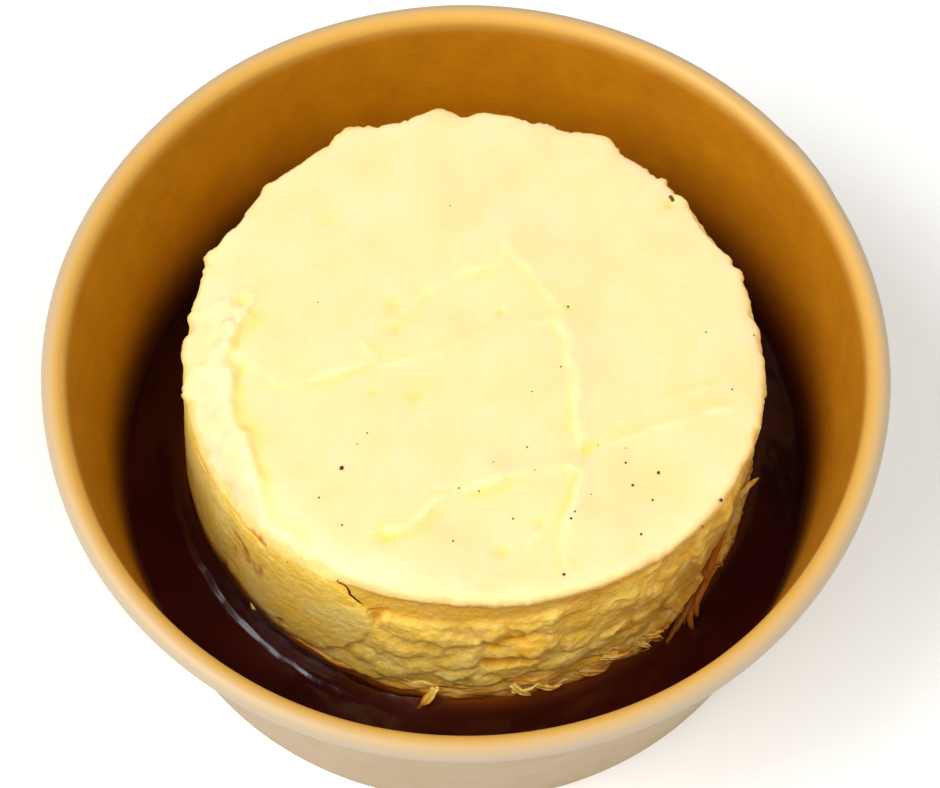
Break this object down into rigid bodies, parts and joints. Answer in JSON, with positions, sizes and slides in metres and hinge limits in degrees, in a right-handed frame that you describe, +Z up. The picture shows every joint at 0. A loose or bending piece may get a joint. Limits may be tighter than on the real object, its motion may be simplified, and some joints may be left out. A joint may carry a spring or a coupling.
{
  "type": "chicken parmentier in a paper bowl",
  "caption": "Ring-moulded pulled chicken under mashed potato, standing in dark gravy in a round kraft paper bowl with a rolled rim.",
  "frame": {"origin": "centre of the ring on which the bowl stands", "axes": "+Z up out of the bowl; -Y towards the eater, the side from which the picture was taken; +X to the eater's right"},
  "size_m": [0.15, 0.15, 0.06],
  "materials": {
    "paper": "coated kraft paper, satin",
    "gravy": "wet dark gravy",
    "chicken": "moist pulled meat",
    "potato": "smooth buttery mash"
  },
  "bodies": {
    "root": {"bowl_wall": "paper", "bowl_floor": "paper", "gravy": "gravy", "chicken": "chicken", "potato": "potato"}
  },
  "joints": []
}
